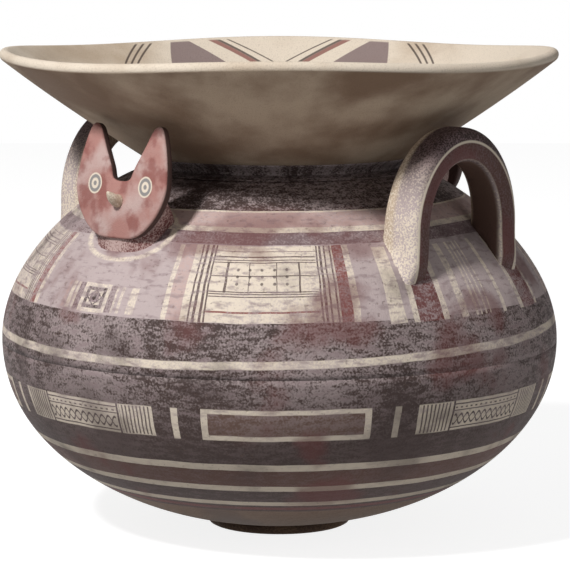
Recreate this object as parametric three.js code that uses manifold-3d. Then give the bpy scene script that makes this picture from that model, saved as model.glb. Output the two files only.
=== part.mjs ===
// An olla with a funnel rim: a fired pot of separate clay members, in millimetres, +Z up.
// The origin is the middle of the foot's flat underside, and the front of the pot faces -Y.
import * as THREE from 'three';
import { mergeVertices } from 'three/addons/utils/BufferGeometryUtils.js';
import Module from 'manifold-3d';

const wasm = await Module();
wasm.setup();

// Driving dimensions of the turned members
const footRadius = 45;
const footHeight = 7;
const baseRadius = 54.5;
const baseRise = 0.9;
const baseSlope = 10.6;
const baseSweep = 61.3;
const bellyRadius = 175.8;
const bellyRise = 112;
const bellySweepDown = 58.5;
const bellySweepUp = 57.2;
const shoulderRise = 109.2;
const mouthRadius = 78.4;
const mouthSlope = 10.2;
const mouthSweep = 29.1;
const wall = 8;
const lapHeight = 4;
const lapGap = 0.3;
const neckRise = 6.8;
const neckFlare = 8.9;
const collarSeatRadius = 88;
const collarSeatDrop = 5.2;
const throatRadius = 74;
const funnelRadius = 174.4;
const funnelRise = 61.3;
const funnelSlopeStart = 33;
const funnelSlopeEnd = 37;
const funnelWall = 7;
const rimWave = 1.8;
const turns = 48;

// Driving dimensions of the two strap handles
const handleAzimuth = 47;
const handleStandOff = 21;
const handleDepth = 24;
const handleSpringDrop = 29.2;
const handleHalfWidth = 48.5;
const handleLegThickness = 16.5;
const handleCrownThickness = 21;
const handleHeadroom = 4.5;
const handleLegLength = 40;
const handleSplay = 6;
const handleRootSpread = 9;

// Driving dimensions of the two plastic figures
const figureAzimuth = -41.5;
const plateSeatDrop = 29.2;
const plateStandOff = 13;
const plateThickness = 6;
const plateLean = 10;
const plateHalfWidth = 36.5;
const plateNotchHalfWidth = 6;
const plateNotchRise = 30;
const plateHornSpread = 25;
const hornHeadroom = 3.5;
const plateSetback = 11;
const plateChinDrop = 5;
const stemHalfWidth = 25;
const stemRecess = 1.5;
const stemHeight = 22;
const stemDepth = 32;
const stemTopDepth = 3;
const noseRise = 17;
const noseLength = 10;
const noseRadius = 4;

const seatGap = 0.3;

const bellyHeight = footHeight + bellyRise;
const mouthHeight = bellyHeight + shoulderRise;
const neckTop = mouthHeight + neckRise;
const rimHeight = neckTop + funnelRise;
const radians = THREE.MathUtils.degToRad;

function clay(color, roughness) {
  return new THREE.MeshStandardMaterial({ color, roughness, metalness: 0 });
}

const lowerCurve = new THREE.CubicBezierCurve(
  new THREE.Vector2(baseRadius, footHeight + baseRise),
  new THREE.Vector2(
    baseRadius + baseSweep * Math.cos(radians(baseSlope)),
    footHeight + baseRise + baseSweep * Math.sin(radians(baseSlope)),
  ),
  new THREE.Vector2(bellyRadius, bellyHeight - bellySweepDown),
  new THREE.Vector2(bellyRadius, bellyHeight),
);

const upperCurve = new THREE.CubicBezierCurve(
  new THREE.Vector2(bellyRadius, bellyHeight),
  new THREE.Vector2(bellyRadius, bellyHeight + bellySweepUp),
  new THREE.Vector2(
    mouthRadius + mouthSweep * Math.cos(radians(mouthSlope)),
    mouthHeight - mouthSweep * Math.sin(radians(mouthSlope)),
  ),
  new THREE.Vector2(mouthRadius, mouthHeight),
);

// A point of a profile curve, moved inwards by a depth
function insetPoint(curve, t, depth) {
  const point = curve.getPoint(t);
  const tangent = curve.getTangent(t);
  return new THREE.Vector2(point.x - tangent.y * depth, point.y + tangent.x * depth);
}

function curvePoints(curve, from, to, count, depth = 0) {
  const points = [];
  for (let i = 0; i <= count; i += 1) {
    points.push(insetPoint(curve, from + ((to - from) * i) / count, depth));
  }
  return points;
}

// Where a profile curve passes a value along x (radius) or y (height)
function curveAt(curve, axis, value) {
  let low = 0;
  let high = 1;
  const rising = curve.getPoint(1)[axis] > curve.getPoint(0)[axis];
  for (let i = 0; i < 50; i += 1) {
    const middle = (low + high) / 2;
    if ((curve.getPoint(middle)[axis] < value) === rising) low = middle;
    else high = middle;
  }
  return low;
}

function shoulderRadiusAt(height) {
  return curveAt(upperCurve, 'y', height) > 0
    ? upperCurve.getPoint(curveAt(upperCurve, 'y', height)).x
    : bellyRadius;
}

// A turned solid from a closed profile of (radius, height) points
function turned(points) {
  const geometry = new THREE.LatheGeometry([...points, points[0]], turns);
  geometry.rotateX(Math.PI / 2);
  return facedOut(geometry);
}

function signedVolume(geometry) {
  const source = geometry.index ? geometry.toNonIndexed() : geometry;
  const position = source.attributes.position;
  const [a, b, c] = [new THREE.Vector3(), new THREE.Vector3(), new THREE.Vector3()];
  let volume = 0;
  for (let i = 0; i < position.count; i += 3) {
    a.fromBufferAttribute(position, i);
    b.fromBufferAttribute(position, i + 1);
    c.fromBufferAttribute(position, i + 2);
    volume += a.dot(b.cross(c)) / 6;
  }
  return volume;
}

// Merges shared vertices, drops empty triangles and turns the faces outwards
function facedOut(geometry) {
  geometry.deleteAttribute('normal');
  geometry.deleteAttribute('uv');
  const merged = mergeVertices(geometry, 1e-4);
  const outwards = signedVolume(merged) > 0;
  const index = [];
  for (let i = 0; i < merged.index.count; i += 3) {
    const a = merged.index.getX(i);
    const b = merged.index.getX(i + 1);
    const c = merged.index.getX(i + 2);
    if (a === b || b === c || c === a) continue;
    index.push(a, outwards ? b : c, outwards ? c : b);
  }
  merged.setIndex(index);
  return merged;
}

function solidOf(geometry) {
  const merged = facedOut(geometry);
  return new wasm.Manifold(new wasm.Mesh({
    numProp: 3,
    vertProperties: new Float32Array(merged.attributes.position.array),
    triVerts: new Uint32Array(merged.index.array),
  }));
}

function geometryOf(solid) {
  const mesh = solid.getMesh();
  const geometry = new THREE.BufferGeometry();
  geometry.setAttribute('position', new THREE.BufferAttribute(mesh.vertProperties, 3));
  geometry.setIndex(new THREE.BufferAttribute(mesh.triVerts, 1));
  return geometry;
}

// A closed skin over rings that all have the same number of points
function lofted(rings) {
  const size = rings[0].length;
  const vertices = [];
  const index = [];
  rings.forEach((ring) => ring.forEach((point) => vertices.push(point.x, point.y, point.z)));
  for (let r = 0; r + 1 < rings.length; r += 1) {
    for (let i = 0; i < size; i += 1) {
      const a = r * size + i;
      const b = r * size + ((i + 1) % size);
      index.push(a, b, b + size, a, b + size, a + size);
    }
  }
  const last = (rings.length - 1) * size;
  for (let i = 1; i + 1 < size; i += 1) {
    index.push(0, i + 1, i);
    index.push(last, last + i, last + i + 1);
  }
  const geometry = new THREE.BufferGeometry();
  geometry.setAttribute('position', new THREE.Float32BufferAttribute(vertices, 3));
  geometry.setIndex(index);
  return geometry;
}

// A unit closed outline between a circle (power 2) and a square (high power)
function squareness(angle, power) {
  const c = Math.cos(angle);
  const s = Math.sin(angle);
  return [
    Math.sign(c) * Math.abs(c) ** (2 / power),
    Math.sign(s) * Math.abs(s) ** (2 / power),
  ];
}

// The foot is a plain disc, and the bowl stands on its flat top
function footDisc() {
  const profile = [
    new THREE.Vector2(0, 0),
    new THREE.Vector2(footRadius - 1, 0),
    new THREE.Vector2(footRadius, 1),
    new THREE.Vector2(footRadius, footHeight),
    new THREE.Vector2(0, footHeight),
  ];
  const geometry = new THREE.LatheGeometry(profile, turns);
  geometry.rotateX(Math.PI / 2);
  return facedOut(geometry);
}

const lapRadius = bellyRadius - wall / 2;

function lowerBowl() {
  const profile = [
    new THREE.Vector2(0, footHeight),
    new THREE.Vector2(baseRadius - 3, footHeight),
    ...curvePoints(lowerCurve, 0, 1, 10),
    new THREE.Vector2(lapRadius - lapGap / 2, bellyHeight),
    new THREE.Vector2(lapRadius - lapGap / 2, bellyHeight + lapHeight),
    new THREE.Vector2(bellyRadius - wall, bellyHeight + lapHeight),
    ...curvePoints(lowerCurve, 1, 0, 9, wall),
    new THREE.Vector2(0, footHeight + wall),
  ];
  const geometry = new THREE.LatheGeometry(profile, turns);
  geometry.rotateX(Math.PI / 2);
  return facedOut(geometry);
}

const collarSeatHeight = mouthHeight - collarSeatDrop;
const collarCut = curveAt(upperCurve, 'x', collarSeatRadius);

function shoulderWall() {
  const innerStart = 0.06;
  return turned([
    new THREE.Vector2(lapRadius + lapGap / 2, bellyHeight),
    ...curvePoints(upperCurve, 0, collarCut, 10),
    new THREE.Vector2(collarSeatRadius + lapGap / 2, collarSeatHeight),
    new THREE.Vector2(throatRadius, collarSeatHeight),
    ...curvePoints(upperCurve, 1, innerStart, 10, wall),
    new THREE.Vector2(bellyRadius - wall, bellyHeight + lapHeight),
    new THREE.Vector2(lapRadius + lapGap / 2, bellyHeight + lapHeight),
  ]);
}

function neckCollar() {
  return turned([
    new THREE.Vector2(throatRadius, collarSeatHeight),
    new THREE.Vector2(collarSeatRadius - lapGap / 2, collarSeatHeight),
    new THREE.Vector2(collarSeatRadius - lapGap / 2, upperCurve.getPoint(collarCut).y),
    ...curvePoints(upperCurve, collarCut + 0.04, 1, 2),
    new THREE.Vector2(mouthRadius + neckFlare * 0.1, mouthHeight + neckRise * 0.25),
    new THREE.Vector2(mouthRadius + neckFlare * 0.5, mouthHeight + neckRise * 0.55),
    new THREE.Vector2(mouthRadius + neckFlare, neckTop),
    new THREE.Vector2(throatRadius, neckTop),
  ]);
}

const lipRadius = funnelWall / 2;
const lipCentre = new THREE.Vector2(funnelRadius - lipRadius, rimHeight);
const slopeEnd = radians(funnelSlopeEnd);
const slopeStart = radians(funnelSlopeStart);
const funnelStart = new THREE.Vector2(mouthRadius + neckFlare, neckTop);
const funnelEnd = new THREE.Vector2(
  lipCentre.x + lipRadius * Math.sin(slopeEnd),
  lipCentre.y - lipRadius * Math.cos(slopeEnd),
);
const funnelSweep = funnelStart.distanceTo(funnelEnd) / 3;
const funnelCurve = new THREE.CubicBezierCurve(
  funnelStart,
  new THREE.Vector2(
    funnelStart.x + funnelSweep * Math.cos(slopeStart),
    funnelStart.y + funnelSweep * Math.sin(slopeStart),
  ),
  new THREE.Vector2(
    funnelEnd.x - funnelSweep * Math.cos(slopeEnd),
    funnelEnd.y - funnelSweep * Math.sin(slopeEnd),
  ),
  funnelEnd,
);

function funnelUndersideAt(radius) {
  return funnelCurve.getPoint(curveAt(funnelCurve, 'x', radius)).y;
}

// The rim dips a little over each handle and figure
function rimDrop(x, y) {
  const azimuth = Math.atan2(x, -y);
  const reach = (Math.hypot(x, y) - funnelStart.x) / (funnelRadius - funnelStart.x);
  return rimWave * Math.cos(4 * azimuth) * Math.max(0, reach) ** 2;
}

function funnelRim() {
  const lip = [];
  for (let i = 1; i < 6; i += 1) {
    const angle = slopeEnd - Math.PI / 2 + (Math.PI * i) / 6;
    lip.push(new THREE.Vector2(
      lipCentre.x + lipRadius * Math.cos(angle),
      lipCentre.y + lipRadius * Math.sin(angle),
    ));
  }
  const geometry = turned([
    new THREE.Vector2(throatRadius, neckTop),
    ...curvePoints(funnelCurve, 0, 1, 7),
    ...lip,
    ...curvePoints(funnelCurve, 1, 0, 7, funnelWall),
  ]);
  const position = geometry.attributes.position;
  for (let i = 0; i < position.count; i += 1) {
    const drop = rimDrop(position.getX(i), position.getY(i));
    position.setZ(i, position.getZ(i) + drop);
  }
  return geometry;
}

// The space of the shoulder with its seat gap, turned back by an azimuth
function shoulderSpace(azimuth) {
  const core = 40;
  const geometry = turned([
    new THREE.Vector2(core, bellyHeight),
    new THREE.Vector2(bellyRadius + seatGap, bellyHeight),
    ...curvePoints(upperCurve, 0.03, 1, 14, -seatGap),
    new THREE.Vector2(core, mouthHeight + seatGap),
  ]);
  geometry.rotateZ(-azimuth);
  return solidOf(geometry);
}

// Handle: an arch whose plane stands across the radius, drawn at azimuth 0
const handleSpring = mouthHeight - handleSpringDrop;
const handleFront = shoulderRadiusAt(handleSpring) + handleStandOff;
const handleBack = handleFront - handleDepth;
const handleCrown = funnelUndersideAt(handleBack) - handleHeadroom;

function strapSection(outer, inner, spread) {
  const ring = [];
  const sides = 12;
  const depth = handleDepth + spread;
  for (let i = 0; i < sides; i += 1) {
    const [u, v] = squareness((2 * Math.PI * (i + 0.5)) / sides, 3.6);
    const mix = 0.5 + v / 2;
    const across = THREE.MathUtils.lerp(inner.x, outer.x, mix);
    const up = THREE.MathUtils.lerp(inner.y, outer.y, mix);
    ring.push(new THREE.Vector3(across, -handleFront + (depth * (1 - u)) / 2, up));
  }
  return ring;
}

function legSection(side, fraction) {
  const drop = fraction * handleLegLength;
  const splay = handleSplay * fraction ** 2;
  const outer = new THREE.Vector2(side * (handleHalfWidth + splay), handleSpring - drop);
  const inside = handleHalfWidth - handleLegThickness + splay * 0.8;
  const inner = new THREE.Vector2(side * inside, handleSpring - drop);
  return strapSection(outer, inner, handleRootSpread * Math.min(1, 0.4 + fraction));
}

function handleGeometry(azimuth) {
  const legSteps = 4;
  const archSteps = 14;
  const rings = [];
  for (let i = legSteps; i > 0; i -= 1) rings.push(legSection(1, i / legSteps));
  for (let i = 0; i <= archSteps; i += 1) {
    const angle = (Math.PI * i) / archSteps;
    const rise = Math.sin(angle);
    const outer = new THREE.Vector2(
      handleHalfWidth * Math.cos(angle),
      handleSpring + (handleCrown - handleSpring) * rise,
    );
    const inner = new THREE.Vector2(
      (handleHalfWidth - handleLegThickness) * Math.cos(angle),
      handleSpring + (handleCrown - handleCrownThickness - handleSpring) * rise,
    );
    rings.push(strapSection(outer, inner, handleRootSpread * 0.4 * (1 - rise)));
  }
  for (let i = 1; i <= legSteps; i += 1) rings.push(legSection(-1, i / legSteps));
  return geometryOf(solidOf(lofted(rings)).subtract(shoulderSpace(azimuth)));
}

// Figure: a horned face plate that leans back, drawn at azimuth 0
const plateSeat = mouthHeight - plateSeatDrop;
const plateFront = shoulderRadiusAt(plateSeat) + plateStandOff;
const plateTilt = radians(plateLean);
const hornBack = Math.hypot(plateFront - plateThickness - plateSetback, plateHornSpread);
const hornHeight = funnelUndersideAt(hornBack) - hornHeadroom;
const hornLength = (hornHeight - plateSeat) / Math.cos(plateTilt);

// The plate's outline, up from its chin, in the plane of its face
function plateOutline() {
  const shape = new THREE.Shape();
  shape.moveTo(0, -plateChinDrop);
  [1, -1].forEach((side) => {
    const points = [
      [plateHalfWidth * 0.8, 7],
      [plateHalfWidth, 22],
      [plateHalfWidth * 0.99, 37],
      [plateHalfWidth * 0.86, hornLength - 8],
      [plateHornSpread, hornLength],
      [plateHornSpread * 0.62, hornLength - 13],
      [plateNotchHalfWidth * 1.7, plateNotchRise + 8],
      [plateNotchHalfWidth, plateNotchRise],
    ];
    if (side < 0) points.reverse();
    shape.splineThru(points.map(([x, y]) => new THREE.Vector2(side * x, y)));
  });
  shape.quadraticCurveTo(-plateHalfWidth * 0.45, -plateChinDrop, 0, -plateChinDrop);
  return shape;
}

function leant(geometry) {
  geometry.rotateX(Math.PI / 2 - plateTilt);
  geometry.translate(0, -plateFront, plateSeat);
  return geometry;
}

function plateBlank(growth) {
  const points = plateOutline().getPoints(3);
  const middle = new THREE.Vector2(0, hornLength / 3);
  const scale = 1 + growth / 20;
  const shape = new THREE.Shape(points.map((point) => (
    point.clone().sub(middle).multiplyScalar(scale).add(middle)
  )));
  const geometry = new THREE.ExtrudeGeometry(shape, {
    depth: plateThickness + 2 * growth,
    bevelEnabled: false,
  });
  geometry.translate(0, 0, -plateThickness - growth);
  return leant(geometry);
}

function plateGeometry() {
  return facedOut(plateBlank(0));
}

function stemGeometry(azimuth) {
  const steps = 7;
  const foot = 24;
  const rings = [];
  for (let i = 0; i <= steps; i += 1) {
    const height = plateSeat - foot + ((foot + stemHeight) * i) / steps;
    const climb = Math.max(0, (height - plateSeat) / stemHeight);
    const front = plateFront - stemRecess - climb * stemHeight * Math.tan(plateTilt);
    const back = front - stemDepth + (stemDepth - plateThickness - stemTopDepth) * climb;
    const half = stemHalfWidth + 5 * Math.sin(Math.PI * 0.8 * climb);
    const ring = [];
    for (let k = 0; k < 16; k += 1) {
      const [u, v] = squareness((2 * Math.PI * k) / 16, 2.6);
      ring.push(new THREE.Vector3(half * u, -(front + back) / 2 + ((front - back) / 2) * v, height));
    }
    rings.push(ring);
  }
  return geometryOf(
    solidOf(lofted(rings)).subtract(solidOf(plateBlank(seatGap))).subtract(shoulderSpace(azimuth)),
  );
}

function noseGeometry() {
  const rings = [];
  for (let i = 0; i <= 4; i += 1) {
    const reach = i / 4;
    const radius = noseRadius * (1 - 0.72 * reach);
    const ring = [];
    for (let k = 0; k < 10; k += 1) {
      const angle = (2 * Math.PI * k) / 10;
      ring.push(new THREE.Vector3(
        radius * Math.cos(angle),
        noseRise + radius * Math.sin(angle) + 4 * reach ** 2,
        seatGap + noseLength * reach,
      ));
    }
    rings.push(ring);
  }
  return facedOut(leant(lofted(rings)));
}

const olla = new THREE.Group();

function add(parent, name, geometry, material) {
  const mesh = new THREE.Mesh(geometry, material);
  mesh.name = name;
  mesh.geometry.computeVertexNormals();
  parent.add(mesh);
}

add(olla, 'foot_disc', footDisc(), clay(0x6e5647, 0.8));
add(olla, 'lower_bowl', lowerBowl(), clay(0x6b5148, 0.75));
add(olla, 'shoulder_wall', shoulderWall(), clay(0x8d7b7c, 0.7));
add(olla, 'neck_collar', neckCollar(), clay(0x40332f, 0.8));
add(olla, 'funnel_rim', funnelRim(), clay(0xcdbca8, 0.75));

const handlePlaces = [
  ['handle_front_right', handleAzimuth],
  ['handle_rear_left', handleAzimuth - 180],
];
handlePlaces.forEach(([name, azimuth]) => {
  const seat = new THREE.Group();
  seat.rotation.z = radians(azimuth);
  add(seat, name, handleGeometry(radians(azimuth)), clay(0x7a5f5c, 0.7));
  olla.add(seat);
});

const figurePlaces = [
  ['front_left', figureAzimuth],
  ['rear_right', figureAzimuth + 180],
];
figurePlaces.forEach(([place, azimuth]) => {
  const seat = new THREE.Group();
  seat.rotation.z = radians(azimuth);
  add(seat, `protome_plate_${place}`, plateGeometry(), clay(0xa87f78, 0.7));
  add(seat, `protome_stem_${place}`, stemGeometry(radians(azimuth)), clay(0x5d4242, 0.75));
  add(seat, `protome_nose_${place}`, noseGeometry(), clay(0xd8c8b6, 0.7));
  olla.add(seat);
});

export default olla;
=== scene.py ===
"""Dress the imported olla: a hand-built, matt-painted pot with a funnel rim.

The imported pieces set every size. The turned walls, strap handles and face plates are rebuilt here with
finer surfaces in the same places, and each gets its painted or bare clay.
"""

from __future__ import annotations

import logging
import math
from dataclasses import dataclass
from enum import Enum

import bpy
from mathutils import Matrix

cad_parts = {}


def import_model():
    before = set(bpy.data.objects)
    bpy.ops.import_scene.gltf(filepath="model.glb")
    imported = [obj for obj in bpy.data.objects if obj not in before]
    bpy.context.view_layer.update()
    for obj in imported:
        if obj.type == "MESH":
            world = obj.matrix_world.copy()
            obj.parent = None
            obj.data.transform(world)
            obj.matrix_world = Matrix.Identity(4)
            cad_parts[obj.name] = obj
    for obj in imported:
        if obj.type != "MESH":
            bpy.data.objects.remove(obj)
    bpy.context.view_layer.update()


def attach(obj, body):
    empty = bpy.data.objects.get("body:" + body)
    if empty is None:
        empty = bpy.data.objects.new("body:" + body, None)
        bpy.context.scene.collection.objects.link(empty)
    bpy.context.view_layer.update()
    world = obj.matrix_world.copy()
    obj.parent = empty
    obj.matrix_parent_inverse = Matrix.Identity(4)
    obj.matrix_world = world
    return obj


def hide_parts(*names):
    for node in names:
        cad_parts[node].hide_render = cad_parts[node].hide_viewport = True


LOG = logging.getLogger("olla")
MM = 0.001
BODY = "root"

Point2 = tuple[float, float]
Point3 = tuple[float, float, float]
Colour = tuple[float, float, float, float]


def from_screen(red: int, green: int, blue: int) -> Colour:
    """Turn a screen colour into a linear one.

    Args:
        red: Red, 0 to 255.
        green: Green, 0 to 255.
        blue: Blue, 0 to 255.

    Returns:
        The linear colour with full alpha.
    """
    def linear(value: int) -> float:
        """Linear value of one channel."""
        part = value / 255
        return part / 12.92 if part <= 0.04045 else ((part + 0.055) / 1.055) ** 2.4
    return (linear(red), linear(green), linear(blue), 1.0)


class Paint(Enum):
    """The clay and the matt paints that the potter used."""

    BARE = from_screen(128, 104, 84)
    BARE_DARK = from_screen(92, 72, 60)
    CREAM = from_screen(222, 208, 190)
    CREAM_STAIN = from_screen(188, 168, 146)
    LAVENDER = from_screen(184, 168, 167)
    MAUVE = from_screen(118, 98, 100)
    DARK = from_screen(62, 48, 46)
    BROWN = from_screen(88, 62, 55)
    RED = from_screen(134, 78, 72)
    RED_DEEP = from_screen(104, 58, 56)
    PINK = from_screen(190, 164, 158)
    PLATE = from_screen(170, 124, 116)
    INK = from_screen(96, 80, 75)
    GREY = from_screen(140, 136, 134)


class Bezier:
    """A cubic curve in radius and height, in millimetres."""

    def __init__(self, a: Point2, b: Point2, c: Point2, d: Point2) -> None:
        """Keep the four control points."""
        self.controls = (a, b, c, d)

    def point(self, t: float) -> Point2:
        """Point of the curve.

        Args:
            t: Place along the curve, 0 to 1.

        Returns:
            Radius and height there.
        """
        k = (1 - t) ** 3, 3 * (1 - t) ** 2 * t, 3 * (1 - t) * t * t, t ** 3
        return (
            sum(k[i] * self.controls[i][0] for i in range(4)),
            sum(k[i] * self.controls[i][1] for i in range(4)),
        )

    def inset(self, t: float, depth: float) -> Point2:
        """Point of the curve, moved inwards.

        Args:
            t: Place along the curve, 0 to 1.
            depth: How far to move it.

        Returns:
            Radius and height there.
        """
        step = 1e-4
        (r0, z0), (r1, z1) = self.point(max(0, t - step)), self.point(min(1, t + step))
        length = math.hypot(r1 - r0, z1 - z0)
        r, z = self.point(t)
        return (r - (z1 - z0) / length * depth, z + (r1 - r0) / length * depth)

    def points(self, start: float, end: float, count: int, depth: float = 0.0) -> list[Point2]:
        """Evenly stepped points between two places on the curve, moved inwards by a depth."""
        return [self.inset(start + (end - start) * i / count, depth) for i in range(count + 1)]

    def at(self, axis: int, value: float) -> float:
        """Find where the curve passes a radius or a height.

        Args:
            axis: 0 for radius, 1 for height.
            value: The radius or height.

        Returns:
            The place along the curve, 0 to 1.
        """
        low, high = 0.0, 1.0
        rising = self.point(1)[axis] > self.point(0)[axis]
        for _ in range(40):
            middle = (low + high) / 2
            if (self.point(middle)[axis] < value) == rising:
                low = middle
            else:
                high = middle
        return low


def heading(slope: float, reach: float) -> Point2:
    """Run and rise of a step of some reach along a slope in degrees."""
    return (reach * math.cos(math.radians(slope)), reach * math.sin(math.radians(slope)))


@dataclass(frozen=True)
class PotForm:
    """The turned form of the pot, in millimetres."""

    foot_radius: float = 45.0
    foot_height: float = 7.0
    base: Point2 = (54.5, 7.9)
    belly_radius: float = 175.8
    belly_height: float = 119.0
    mouth: Point2 = (78.4, 228.2)
    neck_top: Point2 = (87.3, 235.0)
    collar_radius: float = 88.0
    collar_seat: float = 223.0
    throat_radius: float = 74.0
    funnel_radius: float = 174.4
    rim_height: float = 296.3
    wall: float = 8.0
    funnel_wall: float = 7.0
    rim_wave: float = 1.8
    base_slope: float = 10.6
    base_pull: float = 61.3
    below_belly_pull: float = 58.5
    above_belly_pull: float = 57.2
    mouth_slope: float = 10.2
    mouth_pull: float = 29.1
    throat_slope: float = 33.0
    lip_slope: float = 37.0

    @property
    def lower(self) -> Bezier:
        """Outer profile from the foot up to the belly line."""
        step = heading(self.base_slope, self.base_pull)
        return Bezier(self.base, (self.base[0] + step[0], self.base[1] + step[1]),
                      (self.belly_radius, self.belly_height - self.below_belly_pull),
                      (self.belly_radius, self.belly_height))

    @property
    def upper(self) -> Bezier:
        """Outer profile from the belly line up to the mouth."""
        step = heading(self.mouth_slope, self.mouth_pull)
        return Bezier((self.belly_radius, self.belly_height),
                      (self.belly_radius, self.belly_height + self.above_belly_pull),
                      (self.mouth[0] + step[0], self.mouth[1] - step[1]), self.mouth)

    @property
    def funnel(self) -> Bezier:
        """Underside of the funnel from the neck to the lip."""
        lip = self.funnel_wall / 2
        end_slope = math.radians(self.lip_slope)
        end = (self.funnel_radius - lip + lip * math.sin(end_slope),
               self.rim_height - lip * math.cos(end_slope))
        sweep = math.dist(self.neck_top, end) / 3
        first, last = heading(self.throat_slope, sweep), heading(self.lip_slope, sweep)
        return Bezier(self.neck_top, (self.neck_top[0] + first[0], self.neck_top[1] + first[1]),
                      (end[0] - last[0], end[1] - last[1]), end)

    def shoulder_radius(self, height: float) -> float:
        """Outer radius of the shoulder at a height."""
        return self.upper.point(self.upper.at(1, height))[0]


POT = PotForm()


def turned_mesh(name: str, profile: list[Point2], arcs: list[float], turns: int) -> bpy.types.Object:
    """Turn a closed profile round the axis into a mesh.

    Args:
        name: Name of the new piece.
        profile: Radius and height points in millimetres, closed on itself or on the axis.
        arcs: The painted height of each point, in millimetres along the wall.
        turns: Number of steps round the pot.

    Returns:
        The new object, with the painted height kept as the attribute "arc".
    """
    vertices: list[Point3] = []
    faces: list[tuple[int, ...]] = []
    values: list[float] = []
    columns: list[list[int]] = []
    for (radius, height), arc in zip(profile, arcs):
        if radius < 1e-6:
            columns.append([len(vertices)] * turns)
            vertices.append((0.0, 0.0, height * MM))
            values.append(arc)
            continue
        ring = []
        for step in range(turns):
            angle = 2 * math.pi * step / turns
            ring.append(len(vertices))
            vertices.append(formed(radius, height, angle))
            values.append(arc)
        columns.append(ring)
    closed = profile[0][0] > 1e-6
    pairs = list(zip(columns, columns[1:])) + ([(columns[-1], columns[0])] if closed else [])
    for low, high in pairs:
        for step in range(turns):
            after = (step + 1) % turns
            face = [low[step], low[after], high[after], high[step]]
            face = list(dict.fromkeys(face))
            if len(face) > 2:
                faces.append(tuple(face))
    piece = new_piece(name, vertices, faces)
    attribute = piece.data.attributes.new("arc", "FLOAT", "POINT")
    attribute.data.foreach_set("value", values)
    return piece


def formed(radius: float, height: float, angle: float) -> Point3:
    """Place a turned point, with the hand-built pot's slight unevenness.

    Args:
        radius: Radius in millimetres.
        height: Height in millimetres.
        angle: Angle from the front, in radians, towards the right.

    Returns:
        The point in metres.
    """
    lift = 0.0
    if height > POT.neck_top[1]:
        reach = max(0.0, (radius - POT.neck_top[0]) / (POT.funnel_radius - POT.neck_top[0]))
        lift = POT.rim_wave * math.cos(4 * angle) * reach ** 2
    belly = math.exp(-((height - POT.belly_height) / 60) ** 2)
    swell = math.sin(3 * angle + height / 40) + 0.6 * math.sin(7 * angle - height / 23)
    push = 0.35 * belly * swell - 0.5 * belly
    radius += push if radius > 100 and height < 215 else 0.0
    return (radius * math.sin(angle) * MM, -radius * math.cos(angle) * MM, (height + lift) * MM)


def new_piece(name: str, vertices: list[Point3], faces: list[tuple[int, ...]]) -> bpy.types.Object:
    """Make a smooth-shaded object whose faces point outwards.

    Args:
        name: Name of the object and its mesh.
        vertices: Points in metres.
        faces: Point numbers of each face.

    Returns:
        The new object.
    """
    mesh = bpy.data.meshes.new(name)
    mesh.from_pydata(vertices, [], faces)
    mesh.validate()
    piece = bpy.data.objects.new(name, mesh)
    bpy.context.scene.collection.objects.link(piece)
    if signed_volume(mesh) < 0:
        mesh.flip_normals()
    mesh.shade_smooth()
    return piece


def signed_volume(mesh: bpy.types.Mesh) -> float:
    """Measure a closed mesh's volume.

    Args:
        mesh: The mesh.

    Returns:
        The volume, below 0 where the faces point inwards.
    """
    total = 0.0
    for polygon in mesh.polygons:
        points = [mesh.vertices[i].co for i in polygon.vertices]
        for second, third in zip(points[1:], points[2:]):
            total += points[0].dot(second.cross(third)) / 6
    return total


class Value:
    """A number that a shader works out, with Python's operators."""

    def __init__(self, sheet: "Sheet", socket: bpy.types.NodeSocket) -> None:
        """Wrap an output socket of a sheet's node."""
        self.sheet = sheet
        self.socket = socket

    def __add__(self, other: "Value | float") -> "Value":
        """Sum."""
        return self.sheet.math("ADD", self, other)

    def __sub__(self, other: "Value | float") -> "Value":
        """Difference."""
        return self.sheet.math("SUBTRACT", self, other)

    def __rsub__(self, other: float) -> "Value":
        """Difference from a number."""
        return self.sheet.math("SUBTRACT", other, self)

    def __mul__(self, other: "Value | float") -> "Value":
        """Product."""
        return self.sheet.math("MULTIPLY", self, other)

    def __truediv__(self, other: "Value | float") -> "Value":
        """Quotient."""
        return self.sheet.math("DIVIDE", self, other)

    __radd__ = __add__
    __rmul__ = __mul__

    def cover(self, other: "Value") -> "Value":
        """The larger of two masks."""
        return self.sheet.math("MAXIMUM", self, other)

    def size(self) -> "Value":
        """Absolute value."""
        return self.sheet.math("ABSOLUTE", self)

    def step(self, edge: "Value | float", soft: float) -> "Value":
        """Rise smoothly from 0 to 1 round an edge."""
        shifted = self - edge
        return self.sheet.ranged(shifted, -soft, soft)

    def between(self, low: "Value | float", high: "Value | float", soft: float) -> "Value":
        """Be 1 between two edges and 0 outside them."""
        return self.step(low, soft) * (1 - self.step(high, soft))


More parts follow.
